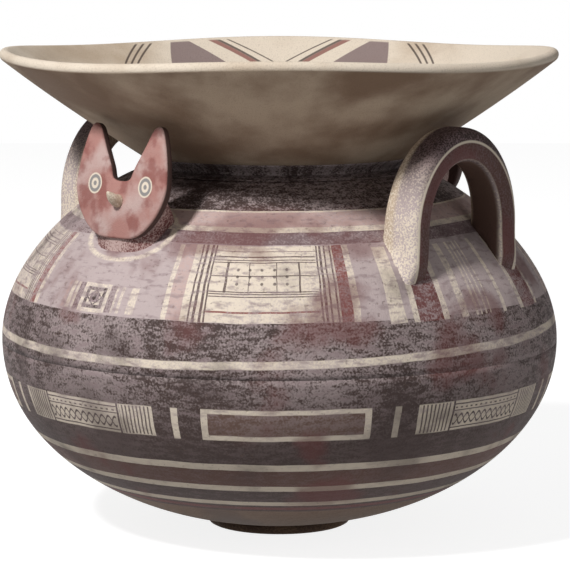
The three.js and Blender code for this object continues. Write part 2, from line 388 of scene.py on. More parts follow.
class Sheet:
    """A material's node tree, with one method for each kind of node that is used."""

    def __init__(self, name: str) -> None:
        """Start a material with only its output and main shader.

        Args:
            name: Name of the material.
        """
        self.material = bpy.data.materials.new(name)
        self.material.use_nodes = True
        self.tree = self.material.node_tree
        self.shader = self.tree.nodes["Principled BSDF"]

    def node(self, kind: str, settings: dict[str, object], inputs: dict[str | int, object]) -> bpy.types.Node:
        """Add a node.

        Args:
            kind: The node's type.
            settings: Properties to set first.
            inputs: Values, links or wrapped values for its input sockets.

        Returns:
            The new node.
        """
        node = self.tree.nodes.new(kind)
        for key, value in settings.items():
            setattr(node, key, value)
        for key, value in inputs.items():
            self.feed(node.inputs[key], value)
        return node

    def feed(self, socket: bpy.types.NodeSocket, value: object) -> None:
        """Set a socket to a value, or link it to one.

        Args:
            socket: The input socket.
            value: A plain value, an output socket or a wrapped one.
        """
        if isinstance(value, Value):
            self.tree.links.new(value.socket, socket)
        elif isinstance(value, bpy.types.NodeSocket):
            self.tree.links.new(value, socket)
        else:
            socket.default_value = value

    def math(self, operation: str, *values: "Value | float") -> Value:
        """One Math node."""
        node = self.node("ShaderNodeMath", {"operation": operation}, dict(enumerate(values)))
        return Value(self, node.outputs[0])

    def ranged(self, value: Value, low: float, high: float) -> Value:
        """Map a range smoothly to 0 to 1."""
        node = self.node("ShaderNodeMapRange", {"interpolation_type": "SMOOTHSTEP"},
                         {"Value": value, "From Min": low, "From Max": high})
        return Value(self, node.outputs["Result"])

    def attribute(self, name: str) -> bpy.types.Node:
        """Read an attribute of the piece."""
        return self.node("ShaderNodeAttribute", {"attribute_name": name}, {})

    def place(self) -> bpy.types.NodeSocket:
        """Object coordinates."""
        return self.node("ShaderNodeTexCoord", {}, {}).outputs["Object"]

    def split(self, vector: bpy.types.NodeSocket) -> tuple[Value, Value, Value]:
        """The three numbers of a vector."""
        node = self.node("ShaderNodeSeparateXYZ", {}, {0: vector})
        return Value(self, node.outputs[0]), Value(self, node.outputs[1]), Value(self, node.outputs[2])

    def joined(self, x: Value, y: Value, z: "Value | float") -> bpy.types.NodeSocket:
        """A vector of three numbers."""
        return self.node("ShaderNodeCombineXYZ", {}, {0: x, 1: y, 2: z}).outputs[0]

    def noise(self, vector: bpy.types.NodeSocket, scale: float, detail: float = 3.0) -> Value:
        """Soft noise from 0 to 1."""
        node = self.node("ShaderNodeTexNoise", {}, {"Vector": vector, "Scale": scale, "Detail": detail})
        return Value(self, node.outputs["Fac"])

    def ramp(self, value: Value, stops: list[tuple[float, Colour]]) -> bpy.types.Node:
        """Hard-edged steps of colour along a number.

        Args:
            value: The number, 0 to 1.
            stops: Where each colour starts. An alpha of 0 stands for no paint.

        Returns:
            The ramp's node.
        """
        node = self.node("ShaderNodeValToRGB", {}, {0: value})
        band = node.color_ramp
        band.interpolation = "CONSTANT"
        band.elements.remove(band.elements[1])
        band.elements[0].position, band.elements[0].color = stops[0]
        for position, colour in stops[1:]:
            element = band.elements.new(position)
            element.color = colour
        return node

    def mix(self, mask: "Value | float", under: object, over: object) -> bpy.types.NodeSocket:
        """Lay one colour over another."""
        node = self.node("ShaderNodeMix", {"data_type": "RGBA"}, {0: mask, 6: under, 7: over})
        return node.outputs[2]

    def finish(self, colour: object, roughness: Value, height: Value, depth: float) -> bpy.types.Material:
        """Join colour, roughness and relief to the main shader.

        Args:
            colour: Base colour.
            roughness: Roughness.
            height: Relief, as a number.
            depth: Depth of that relief in millimetres.

        Returns:
            The finished material.
        """
        self.feed(self.shader.inputs["Base Color"], colour)
        self.feed(self.shader.inputs["Roughness"], roughness)
        bump = self.node("ShaderNodeBump", {}, {"Strength": 1.0, "Distance": depth * MM, "Height": height})
        self.feed(self.shader.inputs["Normal"], bump.outputs[0])
        self.shader.inputs["Specular IOR Level"].default_value = 0.3
        return self.material


@dataclass(frozen=True)
class Strip:
    """Paint that changes along one way, kept between two limits along the other."""

    low: float
    high: float
    parts: tuple[tuple[float, float, Paint], ...]


NO_LIMIT = 400.0

RINGS = Strip(-NO_LIMIT, NO_LIMIT, (
    (-113.5, 240.0, Paint.DARK),
    (-111.0, -106.0, Paint.RED_DEEP),
    (-104.0, -97.7, Paint.CREAM),
    (-83.7, -78.4, Paint.CREAM),
    (-78.4, -62.7, Paint.BROWN),
    (-62.7, -57.8, Paint.CREAM),
    (33.0, 86.0, Paint.LAVENDER),
    (85.0, 94.6, Paint.MAUVE),
    (94.6, 98.9, Paint.CREAM),
    (98.9, 111.0, Paint.PINK),
    (111.2, 112.8, Paint.CREAM),
))

GROUP_UPRIGHTS = Strip(33.5, 84.5, (
    (-20.2, 20.6, Paint.CREAM),
    (-19.0, -16.0, Paint.PINK),
    (-14.5, -14.1, Paint.INK),
    (-13.5, -13.1, Paint.INK),
    (-12.2, -11.8, Paint.INK),
    (-11.3, -10.9, Paint.INK),
    (12.6, 13.0, Paint.INK),
    (13.5, 13.9, Paint.INK),
    (14.5, 14.9, Paint.INK),
    (15.9, 16.3, Paint.INK),
    (16.6, 19.1, Paint.RED),
))

GROUP_LINES = Strip(-10.9, 12.6, (
    (80.0, 80.6, Paint.MAUVE),
    (75.9, 76.8, Paint.INK),
    (73.4, 74.2, Paint.INK),
    (71.8, 72.6, Paint.INK),
    (62.4, 63.1, Paint.INK),
    (51.8, 52.6, Paint.INK),
    (50.5, 51.3, Paint.INK),
    (48.8, 49.6, Paint.INK),
    (39.2, 40.4, Paint.RED),
))

GROUP_GRID = Strip(51.8, 72.6, (
    (-7.7, -7.3, Paint.INK),
    (-2.6, -2.3, Paint.INK),
    (3.4, 3.7, Paint.INK),
    (8.4, 8.8, Paint.INK),
))

FIGURE_UPRIGHTS = Strip(35.0, 52.0, (
    (-9.4, -8.6, Paint.PINK),
    (-7.9, -6.9, Paint.CREAM),
    (-6.3, 6.0, Paint.CREAM),
    (-5.6, 5.4, Paint.MAUVE),
    (6.6, 7.4, Paint.CREAM),
    (9.1, 11.0, Paint.CREAM),
))

FIGURE_SQUARES = (
    (2.5, 3.8, Paint.CREAM),
    (1.9, 2.8, Paint.DARK),
    (1.3, 1.9, Paint.CREAM),
)

HANDLE_UPRIGHTS = Strip(31.0, 82.0, (
    (-24.5, -21.0, Paint.CREAM),
    (-19.4, -10.6, Paint.CREAM),
    (-18.0, -12.0, Paint.RED_DEEP),
    (-7.4, -5.6, Paint.CREAM),
    (-3.2, -2.5, Paint.CREAM),
    (-1.8, -1.3, Paint.CREAM),
    (-0.4, 0.1, Paint.CREAM),
    (1.0, 1.6, Paint.CREAM),
    (5.4, 6.6, Paint.CREAM),
    (12.4, 21.0, Paint.CREAM),
    (13.6, 19.8, Paint.RED_DEEP),
))

FRIEZE_BOX = Strip(-38.2, -17.9, (
    (-22.85, -21.55, Paint.CREAM),
    (-16.7, 16.7, Paint.CREAM),
    (21.55, 22.85, Paint.CREAM),
))

FRIEZE_BOX_CORE = Strip(-34.8, -20.8, ((-15.4, 15.4, Paint.BROWN),))

FRIEZE_PANEL = Strip(-37.5, -18.0, (
    (-18.1, 18.1, Paint.CREAM),
    (-10.2, -9.7, Paint.DARK),
    (9.7, 10.2, Paint.DARK),
))

FRIEZE_PANEL_LINES = Strip(-9.9, 9.9, (
    (-36.0, -35.2, Paint.DARK),
    (-24.6, -23.8, Paint.DARK),
    (-20.6, -19.8, Paint.DARK),
))

FUNNEL_RAYS = (
    (-5.2, -4.5, -0.36, -0.36, Paint.DARK),
    (-3.2, -2.5, -0.36, -0.36, Paint.DARK),
    (-1.2, -0.5, -0.36, -0.36, Paint.DARK),
    (3.9, 8.1, -0.12, 0.31, Paint.MAUVE),
    (12.7, 14.6, 0.38, 0.38, Paint.RED),
    (14.6, 15.6, 0.38, 0.38, Paint.DARK),
    (17.0, 17.6, 0.43, 0.43, Paint.DARK),
)

EYE_RINGS = (
    (5.6, Paint.CREAM),
    (4.7, Paint.GREY),
    (2.9, Paint.CREAM),
    (1.3, Paint.GREY),
)

GROUP_AXES = (-4.0, -81.0)
FIGURE_AXIS = -41.5
HANDLE_AXIS = 47.0


@dataclass(frozen=True)
class PotPaint:
    """The painted finish of the turned walls."""

    name: str = "painted_clay"
    soft: float = 0.4

    def material(self) -> bpy.types.Material:
        """Build the painted clay.

        Returns:
            The material.
        """
        sheet = Sheet(self.name)
        place = sheet.place()
        x, y, _ = sheet.split(place)
        coarse = sheet.noise(place, 38)
        fine = sheet.noise(place, 800, 5)
        cloud = sheet.noise(place, 13, 6)
        angle = sheet.math("ARCTAN2", x, y * -1.0) * (180 / math.pi) + (coarse - 0.5) * 1.1
        arc = Value(sheet, sheet.attribute("arc").outputs["Fac"]) + (sheet.noise(place, 24) - 0.5) * 2.6
        streak = sheet.noise(sheet.joined(angle * 0.3, arc * 0.3, 0.0), 1.0, 5)
        colour = sheet.mix(cloud, Paint.BARE_DARK.value, Paint.BARE.value)
        colour = self.laid(sheet, colour, RINGS, arc, angle, -120, 240)
        tilt = sheet.math("COSINE", (angle + 38.0) * (math.pi / 180))
        colour = sheet.mix((arc + tilt * 5.5).between(10.6, 15.4, self.soft), colour, Paint.CREAM.value)
        for centre in GROUP_AXES:
            turned = self.turn(sheet, angle, centre, 90)
            colour = self.laid(sheet, colour, GROUP_UPRIGHTS, turned, arc, -24, 24)
            colour = self.laid(sheet, colour, GROUP_LINES, arc, turned, 30, 90)
            colour = self.laid(sheet, colour, GROUP_GRID, turned, arc, -24, 24)
            colour = self.dots(sheet, colour, turned, arc)
        turned = self.turn(sheet, angle, FIGURE_AXIS, 90)
        colour = self.laid(sheet, colour, FIGURE_UPRIGHTS, turned, arc, -24, 24)
        colour = self.lozenge(sheet, colour, turned, arc)
        across, up = turned * (1 / 12.8), (arc - 92.0) * (1 / 21.0)
        root = sheet.math("SQRT", across * across + up * up)
        colour = sheet.mix(root.between(1.0, 1.14, 0.03), colour, Paint.CREAM.value)
        turned = self.turn(sheet, angle, HANDLE_AXIS, 90)
        colour = self.laid(sheet, colour, HANDLE_UPRIGHTS, turned, arc, -30, 30)
        turned = self.turn(sheet, angle, 1.5, 45)
        colour = self.laid(sheet, colour, FRIEZE_BOX, turned, arc, -30, 30)
        colour = self.laid(sheet, colour, FRIEZE_BOX_CORE, turned, arc, -30, 30)
        turned = self.turn(sheet, angle, -43.5, 45)
        colour = self.laid(sheet, colour, FRIEZE_PANEL, turned, arc, -30, 30)
        colour = self.laid(sheet, colour, FRIEZE_PANEL_LINES, arc, turned, -45, -15)
        colour = self.stripes(sheet, colour, turned, arc)
        return self.worn(sheet, colour, place, arc, cloud, fine, streak, coarse)

    def worn(self, sheet: Sheet, colour: object, place: object, arc: Value, cloud: Value, fine: Value,
             streak: Value, coarse: Value) -> bpy.types.Material:
        """Wear, mottling, painted light on the upper wall and relief over the painted design.

        Args:
            sheet: The material's sheet.
            colour: The painted design.
            place: Object coordinates.
            arc: Painted height.
            cloud: Wide soft noise.
            fine: Grain noise.
            streak: Patchy brush marks.
            coarse: Middle noise.

        Returns:
            The finished material.
        """
        # The pale speckle and the mauve streaks grow towards the top of the wall. This is partly real wear
        # and partly painted light: a painted sheen on the lit shoulder, which leaves the lower belly darker.
        upper = sheet.ranged(arc, -50, 15)
        wear_and_sheen_speckle = sheet.ranged(fine * 0.6 + cloud * 0.5 + streak * 0.5, 0.7, 0.92)
        pale = sheet.mix(0.7, colour, Paint.LAVENDER.value)
        colour = sheet.mix(wear_and_sheen_speckle * (upper * 0.8 + 0.15), colour, pale)
        painted = arc.between(-105, 112, 12)
        colour = sheet.mix(sheet.ranged(streak, 0.5, 0.68) * painted * (upper * 0.3 + 0.15), colour,
                           Paint.MAUVE.value)
        patches = sheet.noise(place, 20, 6)
        colour = sheet.mix(sheet.ranged(patches, 0.53, 0.66) * 0.6 * painted, colour, Paint.RED_DEEP.value)
        colour = sheet.mix(sheet.ranged(patches, 0.48, 0.34) * 0.5, colour, Paint.DARK.value)
        pits = sheet.ranged(sheet.noise(place, 420, 3), 0.62, 0.72)
        colour = sheet.mix(pits * 0.35, colour, Paint.BARE_DARK.value)
        return sheet.finish(colour, 0.58 + cloud * 0.25, fine + coarse * 2.0 - pits * 0.6, 0.3)

    @staticmethod
    def turn(sheet: Sheet, angle: Value, centre: float, half: float) -> Value:
        """Angle from the nearest repeat of a centre."""
        return sheet.math("WRAP", angle - centre, half, -half)

    def laid(self, sheet: Sheet, colour: object, strip: Strip, along: Value, across: Value,
             first: float, last: float) -> object:
        """Lay a strip of paint over a colour.

        Args:
            sheet: The material's sheet.
            colour: What lies under the strip.
            strip: The paint and its limits.
            along: The number along which the paint changes.
            across: The number that the limits keep.
            first: Where the ramp of paint starts.
            last: Where it ends.

        Returns:
            The new colour.
        """
        edges = sorted({edge for low, high, _ in strip.parts for edge in (low, high)})
        stops: list[tuple[float, Colour]] = [(0.0, (0.0, 0.0, 0.0, 0.0))]
        for edge, after in zip(edges, [*edges[1:], last]):
            middle = (edge + after) / 2
            over = [paint.value for low, high, paint in strip.parts if low < middle < high]
            stops.append(((edge - first) / (last - first), over[-1] if over else (0.0, 0.0, 0.0, 0.0)))
        ramp = sheet.ramp((along - first) / (last - first), stops)
        mask = Value(sheet, ramp.outputs["Alpha"]) * 0.95
        if strip.high < NO_LIMIT:
            mask = mask * across.between(strip.low, strip.high, self.soft)
        return sheet.mix(mask, colour, ramp.outputs["Color"])

    @staticmethod
    def dots(sheet: Sheet, colour: object, angle: Value, arc: Value) -> object:
        """Small dots in the cells of a grid.

        Args:
            sheet: The material's sheet.
            colour: What lies under the dots.
            angle: Angle from the middle of the group.
            arc: Painted height.

        Returns:
            The new colour.
        """
        column = sheet.math("PINGPONG", angle + 40.0, 1.35)
        row = sheet.math("PINGPONG", arc, 2.4)
        inside = angle.between(-5.6, 6.8, 0.1) * arc.between(53.6, 71.0, 0.2)
        spot = sheet.math("SQRT", column * column * 9.0 + row * row)
        return sheet.mix((1 - spot.step(1.0, 0.3)) * inside * 0.8, colour, Paint.DARK.value)

    @staticmethod
    def lozenge(sheet: Sheet, colour: object, angle: Value, arc: Value) -> object:
        """Nested squares with a lozenge at their middle, under the face plate.

        Args:
            sheet: The material's sheet.
            colour: What lies under them.
            angle: Angle from the middle of the figure.
            arc: Painted height.

        Returns:
            The new colour.
        """
        across = angle.size()
        up = ((arc - 43.5) * 0.42).size()
        square = across.cover(up)
        for low, high, paint in FIGURE_SQUARES:
            colour = sheet.mix(square.between(low, high, 0.12), colour, paint.value)
        diamond = across + up
        colour = sheet.mix(diamond.between(1.7, 2.2, 0.12), colour, Paint.DARK.value)
        return sheet.mix(1 - diamond.step(0.9, 0.15), colour, Paint.DARK.value)

    @staticmethod
    def stripes(sheet: Sheet, colour: object, angle: Value, arc: Value) -> object:
        """Thin upright lines at both ends of a frieze panel, and the twist between them.

        Args:
            sheet: The material's sheet.
            colour: What lies under them.
            angle: Angle from the middle of the panel.
            arc: Painted height.

        Returns:
            The new colour.
        """
        wave = sheet.math("SINE", angle * (2 * math.pi / 0.86))
        ends = angle.size().between(10.6, 17.6, 0.1) * arc.between(-37, -18.5, 0.4)
        colour = sheet.mix(ends * sheet.ranged(wave, 0.1, 0.5) * 0.9, colour, Paint.DARK.value)
        inside = angle.size().between(-1.0, 9.4, 0.1)
        for shift in (0.0, math.pi):
            twist = sheet.math("SINE", angle * 1.9 + shift) * 3.2 - 30.0
            strand = (arc - twist).size().between(-1.0, 0.75, 0.3)
            colour = sheet.mix(strand * inside, colour, Paint.DARK.value)
        dashes = sheet.math("PINGPONG", angle + 40.0, 0.7).between(-1.0, 0.3, 0.08)
        return sheet.mix(dashes * arc.between(-22.8, -21.9, 0.3) * inside, colour, Paint.DARK.value)


@dataclass(frozen=True)
class FunnelPaint:
    """Cream slip inside the funnel, bare clay under it."""

    name: str = "slipped_funnel"

    def material(self) -> bpy.types.Material:
        """Build the funnel's finish.

        Returns:
            The material.
        """
        sheet = Sheet(self.name)
        place = sheet.place()
        x, y, z = sheet.split(place)
        cloud = sheet.noise(place, 16, 5)
        fine = sheet.noise(place, 1100, 3)
        inner = Value(sheet, sheet.attribute("arc").outputs["Fac"])
        angle = sheet.math("ARCTAN2", x, y * -1.0) * (180 / math.pi)
        cream = sheet.mix(sheet.ranged(cloud, 0.4, 0.75), Paint.CREAM.value, Paint.CREAM_STAIN.value)
        bare = sheet.mix(sheet.ranged(cloud, 0.35, 0.65), Paint.BARE.value, Paint.CREAM_STAIN.value)
        near = (angle.size() - 90.0).size() - 60.0
        deep = inner - 5.0
        for left, right, left_slant, right_slant, paint in FUNNEL_RAYS:
            mask = near.between(deep * left_slant + left, deep * right_slant + right, 0.15)
            cream = sheet.mix(mask * inner.between(6, 60, 1.0) * 0.85, cream, paint.value)
        colour = sheet.mix(inner.step(-3.4, 0.8), bare, cream)
        grime = sheet.ranged(fine, 0.5, 0.7) * 0.18
        colour = sheet.mix(grime, colour, Paint.BARE_DARK.value)
        return sheet.finish(colour, 0.66 + cloud * 0.2, fine + cloud * 3.0, 0.3)


@dataclass(frozen=True)
class StrapPaint:
    """Dark red band with cream edges along the front of a strap, mottled elsewhere."""

    name: str = "painted_strap"

    def material(self) -> bpy.types.Material:
        """Build the strap's finish.

        Returns:
            The material.
        """
        sheet = Sheet(self.name)
        place = sheet.place()
        across, depth, along = sheet.split(sheet.attribute("spot").outputs["Vector"])
        fine = sheet.noise(place, 900, 4)
        cloud = sheet.noise(place, 30, 4)
        mottle = sheet.ranged(fine + (cloud - 0.5) * 0.5, 0.42, 0.6)
        high = sheet.mix(mottle, Paint.DARK.value, Paint.MAUVE.value)
        low = sheet.mix(mottle, Paint.LAVENDER.value, Paint.CREAM.value)
        side = sheet.mix(sheet.ranged(along, 250.0, 205.0), high, low)
        rear = sheet.mix(mottle, Paint.CREAM_STAIN.value, Paint.CREAM.value)
        plain = sheet.mix(cloud, Paint.BARE_DARK.value, Paint.BROWN.value)
        colour = sheet.mix(depth.step(17.0, 2.0), side, rear)
        colour = sheet.mix(depth.step(1.5, 0.5) * (1 - across.step(1.0, 0.6)), colour, plain)
        front = 1 - depth.step(1.8, 0.5)
        colour = sheet.mix(front * across.between(-1, 13.5, 0.4), colour, Paint.CREAM.value)
        red = sheet.mix(mottle * 0.6, Paint.BROWN.value, Paint.MAUVE.value)
        red = sheet.mix(sheet.ranged(cloud, 0.45, 0.65) * 0.6, red, Paint.RED_DEEP.value)
        colour = sheet.mix(front * across.between(1.4, 12.0, 0.4), colour, red)
        return sheet.finish(colour, 0.6 + cloud * 0.2, fine + cloud, 0.3)


@dataclass(frozen=True)
class PlatePaint:
    """Faded red-brown face with ringed eyes and dark edges."""

    name: str = "red_slip_plate"
    eye_spread: float = 20.8
    eye_height: float = 26.5

    def material(self) -> bpy.types.Material:
        """Build the plate's finish.

        Returns:
            The material.
        """
        sheet = Sheet(self.name)
        place = sheet.place()
        across, up, out = sheet.split(sheet.attribute("spot").outputs["Vector"])
        cloud = sheet.noise(place, 45, 5)
        fine = sheet.noise(place, 1000, 3)
        colour = sheet.mix(sheet.ranged(cloud, 0.38, 0.66), Paint.PLATE.value, Paint.PINK.value)
        colour = sheet.mix(sheet.ranged(sheet.noise(place, 80, 4), 0.46, 0.62) * 0.7, colour, Paint.RED.value)
        dx = across.size() - self.eye_spread
        dy = up - self.eye_height
        eye = sheet.math("SQRT", dx * dx + dy * dy * 0.8)
        for radius, paint in EYE_RINGS:
            colour = sheet.mix(1 - eye.step(radius, 0.3), colour, paint.value)
        edge = 1 - out.step(-1.3, 0.5)
        colour = sheet.mix(edge, colour, sheet.mix(cloud, Paint.DARK.value, Paint.BROWN.value))
        return sheet.finish(colour, 0.6 + cloud * 0.2, fine + cloud * 2.0, 0.3)


@dataclass(frozen=True)
class PlainClay:
    """One clay or slip colour mottled with another."""

    name: str
    under: Paint
    over: Paint

    def material(self) -> bpy.types.Material:
        """Build the mottled clay.

        Returns:
            The material.
        """
        sheet = Sheet(self.name)
        place = sheet.place()
        cloud = sheet.noise(place, 40, 5)
        fine = sheet.noise(place, 900, 4)
        mask = sheet.ranged(fine * 0.5 + cloud * 0.5, 0.42, 0.6)
        colour = sheet.mix(mask, self.under.value, self.over.value)
        return sheet.finish(colour, 0.65 + cloud * 0.2, fine + cloud * 2.0, 0.3)


@dataclass
class TurnedWalls:
    """Foot, bowl, shoulder, neck ring and funnel."""

    turns: int = 240
    steps: int = 44

    def arc_of(self, point: Point2) -> float:
        """Painted height of an outer point.

        Args:
            point: Radius and height in millimetres.

        Returns:
            Millimetres along the wall from the belly line, upwards.
        """
        upper = point[1] >= POT.belly_height
        curve = POT.upper if upper else POT.lower
        t = curve.at(1, min(max(point[1], POT.base[1]), POT.mouth[1]))
        start = 0.0 if upper else 1.0
        path = [curve.point(start + (t - start) * i / 24) for i in range(25)]
        length = sum(math.dist(a, b) for a, b in zip(path, path[1:]))
        return length if upper else -length

    def build(self, paint: bpy.types.Material, funnel_paint: bpy.types.Material,
              bare: bpy.types.Material) -> None:
        """Build the five turned pieces and dress them.

        Args:
            paint: Finish of the painted walls.
            funnel_paint: Finish of the funnel.
            bare: Finish of the foot.
        """
        lap = POT.belly_radius - POT.wall / 2
        gap = 0.15
        cut = POT.upper.at(0, POT.collar_radius)
        foot = [(0, 0), (POT.foot_radius - 1.5, 0), (POT.foot_radius - 0.4, 0.6), (POT.foot_radius, 2),
                (POT.foot_radius - 0.4, POT.foot_height), (0, POT.foot_height)]
        bowl_skin = POT.lower.points(0, 1, self.steps)
        bowl = [(0, POT.foot_height), (POT.base[0] - 3, POT.foot_height), *bowl_skin,
                (lap - gap, POT.belly_height), (lap - gap, POT.belly_height + 4),
                (POT.belly_radius - POT.wall, POT.belly_height + 4),
                *POT.lower.points(1, 0, 24, POT.wall), (0, POT.foot_height + POT.wall)]
        shoulder = [(lap + gap, POT.belly_height), *POT.upper.points(0, cut, self.steps),
                    (POT.collar_radius + gap, POT.collar_seat), (POT.throat_radius, POT.collar_seat),
                    *POT.upper.points(1, 0.06, 24, POT.wall),
                    (POT.belly_radius - POT.wall, POT.belly_height + 4), (lap + gap, POT.belly_height + 4)]
        rise = POT.neck_top[1] - POT.mouth[1]
        flare = POT.neck_top[0] - POT.mouth[0]
        flared = [(POT.mouth[0] + flare * k ** 1.6, POT.mouth[1] + rise * k) for k in (0.2, 0.4, 0.6, 0.8, 1)]
        neck = [(POT.throat_radius, POT.collar_seat), (POT.collar_radius - gap, POT.collar_seat),
                *POT.upper.points(cut, 1, 6), *flared, (POT.throat_radius, POT.neck_top[1])]
        self.add("foot_disc", foot, bare)
        self.add("lower_bowl", bowl, paint)
        self.add("shoulder_wall", shoulder, paint)
        self.add("neck_collar", neck, paint)
        self.add_funnel(funnel_paint)

    def add(self, node: str, profile: list[Point2], finish: bpy.types.Material) -> None:
        """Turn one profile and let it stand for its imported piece."""
        arcs = [self.arc_of(point) for point in profile]
        dress(turned_mesh(f"{node}_skin", profile, arcs, self.turns), node, finish)

    def add_funnel(self, finish: bpy.types.Material) -> None:
        """Turn the funnel, whose painted height runs over the lip and down inside.

        Args:
            finish: Its finish.
        """
        lip = POT.funnel_wall / 2
        centre = (POT.funnel_radius - lip, POT.rim_height)
        slope = math.radians(POT.lip_slope)
        bead = [(centre[0] + lip * math.cos(slope - math.pi / 2 + math.pi * i / 12),
                 centre[1] + lip * math.sin(slope - math.pi / 2 + math.pi * i / 12)) for i in range(1, 12)]
        under = POT.funnel.points(0, 1, 30)
        inside = POT.funnel.points(1, 0, 30, POT.funnel_wall)
        profile = [(POT.throat_radius, POT.neck_top[1]), *under, *bead, *inside]
        reach = math.dist(POT.neck_top, under[-1])
        arcs = [-reach - 10, *[-reach * (1 - i / 30) - 5 for i in range(31)],
                *[-5 + 10 * i / 12 for i in range(1, 12)], *[5 + reach * i / 30 for i in range(31)]]
        dress(turned_mesh("funnel_rim_skin", profile, arcs, self.turns), "funnel_rim", finish)


def dress(piece: bpy.types.Object, node: str, finish: bpy.types.Material) -> None:
    """Give a piece its finish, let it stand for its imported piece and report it.

    Args:
        piece: The new piece.
        node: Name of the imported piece.
        finish: Its finish.
    """
    piece.data.materials.clear()
    piece.data.materials.append(finish)
    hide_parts(node)
    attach(piece, BODY)
    LOG.info("%s stands for %s with %d faces", piece.name, node, len(piece.data.polygons))


def squareness(angle: float, power: float) -> Point2:
    """A point of a unit outline, a circle at power 2 and squarer above it."""
    c, s = math.cos(angle), math.sin(angle)
    return (math.copysign(abs(c) ** (2 / power), c), math.copysign(abs(s) ** (2 / power), s))


def turned_to(point: Point3, azimuth: float) -> Point3:
    """Turn a point drawn at the front to its place round the pot.

    Args:
        point: The point in millimetres.
        azimuth: Degrees from the front, towards the right.

    Returns:
        The point in metres.
    """
    a = math.radians(azimuth)
    x, y, z = point
    return ((x * math.cos(a) - y * math.sin(a)) * MM, (x * math.sin(a) + y * math.cos(a)) * MM, z * MM)


def settled(point: Point3, sink: float) -> Point3:
    """Keep a point that dips into the shoulder just under its surface.

    Args:
        point: The point in millimetres.
        sink: How far under the surface it may lie.

    Returns:
        The point, moved outwards where it has to be.
    """
    x, y, z = point
    radius = math.hypot(x, y)
    height = min(max(z, POT.belly_height + 1), POT.mouth[1] - 0.5)
    surface = POT.shoulder_radius(height)
    if radius >= surface - sink:
        return point
    scale = (surface - sink) / radius
    return (x * scale, y * scale, z)


@dataclass
class StrapHandle:
    """An arched strap whose plane stands across the radius."""

    node: str
    azimuth: float
    front: float = 154.0
    depth: float = 24.0
    spring: float = 199.0
    half_width: float = 48.5
    leg_thickness: float = 16.5
    crown: float = 259.0
    crown_thickness: float = 21.0
    leg_length: float = 40.0
    splay: float = 6.0
    root_spread: float = 9.0
    root_sink: float = 10.0
    sides: int = 36

    def section(self, outer: Point2, inner: Point2, spread: float) -> list[tuple[Point3, Point3]]:
        """Points round one cut through the strap, with their places on it.

        Args:
            outer: Outer edge of the strap in the arch plane.
            inner: Inner edge of the strap in the arch plane.
            spread: Extra depth near the root.

        Returns:
            Pairs of a point and its (across, depth, height) place.
        """
        ring_points = []
        thickness = math.dist(outer, inner)
        depth = self.depth + spread
        for i in range(self.sides):
            u, v = squareness(2 * math.pi * (i + 0.5) / self.sides, 3.6)
            mix = 0.5 + v / 2
            back = depth * (1 - u) / 2
            across = inner[0] + (outer[0] - inner[0]) * mix
            up = inner[1] + (outer[1] - inner[1]) * mix
            ring_points.append(((across, -self.front + back, up), (mix * thickness, back, up)))
        return ring_points

    def leg(self, side: float, fraction: float) -> list[tuple[Point3, Point3]]:
        """One cut through a leg, below the arch.

        Args:
            side: 1 for the right leg, -1 for the left.
            fraction: How far down the leg the cut lies, 0 to 1.

        Returns:
            Pairs of a point and its place on the strap.
        """
        splay = self.splay * fraction ** 2
        flare = 7.0 * max(0.0, fraction - 0.25) ** 2
        sink = self.root_sink * max(0.0, (fraction - 0.4) / 0.6) ** 2
        height = self.spring - fraction * self.leg_length
        outer = (side * (self.half_width + splay + flare), height)
        inner = (side * (self.half_width - self.leg_thickness + splay * 0.8 - flare), height)
        cut = self.section(outer, inner, self.root_spread * min(1.0, 0.4 + fraction))
        return [((x, y + sink, z), spot) for (x, y, z), spot in cut]

    def rings(self) -> list[list[tuple[Point3, Point3]]]:
        """All cuts through the strap.

        Returns:
            The cuts from the right foot over the crown to the left foot.
        """
        legs, arch = 20, 56
        cuts = [self.leg(1, i / legs) for i in range(legs, 0, -1)]
        for i in range(arch + 1):
            angle = math.pi * i / arch
            rise = math.sin(angle)
            outer = (self.half_width * math.cos(angle), self.spring + (self.crown - self.spring) * rise)
            inside = self.half_width - self.leg_thickness
            top = self.crown - self.crown_thickness - self.spring
            inner = (inside * math.cos(angle), self.spring + top * rise)
            cuts.append(self.section(outer, inner, self.root_spread * 0.4 * (1 - rise)))
        cuts += [self.leg(-1, i / legs) for i in range(1, legs + 1)]
        return cuts

    def build(self, finish: bpy.types.Material) -> None:
        """Build the strap and dress it.

        Args:
            finish: Finish of the strap.
        """
        cuts = self.rings()
        vertices = [turned_to(settled(point, 1.2), self.azimuth) for cut in cuts for point, _ in cut]
        spots = [value for cut in cuts for _, spot in cut for value in spot]
        piece = lofted(f"{self.node}_strap", vertices, len(cuts), self.sides)
        keep_spots(piece, spots)
        dress(piece, self.node, finish)


def lofted(name: str, vertices: list[Point3], rings: int, sides: int) -> bpy.types.Object:
    """A closed skin over rings of points.

    Args:
        name: Name of the new piece.
        vertices: The rings' points, one ring after the other.
        rings: Number of rings.
        sides: Number of points in each.

    Returns:
        The new piece.
    """
    faces: list[tuple[int, ...]] = []
    for r in range(rings - 1):
        for i in range(sides):
            a, b = r * sides + i, r * sides + (i + 1) % sides
            faces.append((a, b, b + sides, a + sides))
    faces.append(tuple(reversed(range(sides))))
    faces.append(tuple(range((rings - 1) * sides, rings * sides)))
    return new_piece(name, vertices, faces)


def keep_spots(piece: bpy.types.Object, spots: list[float]) -> None:
    """Keep each point's place on its piece as the attribute "spot"."""
    attribute = piece.data.attributes.new("spot", "FLOAT_VECTOR", "POINT")
    attribute.data.foreach_set("vector", spots)


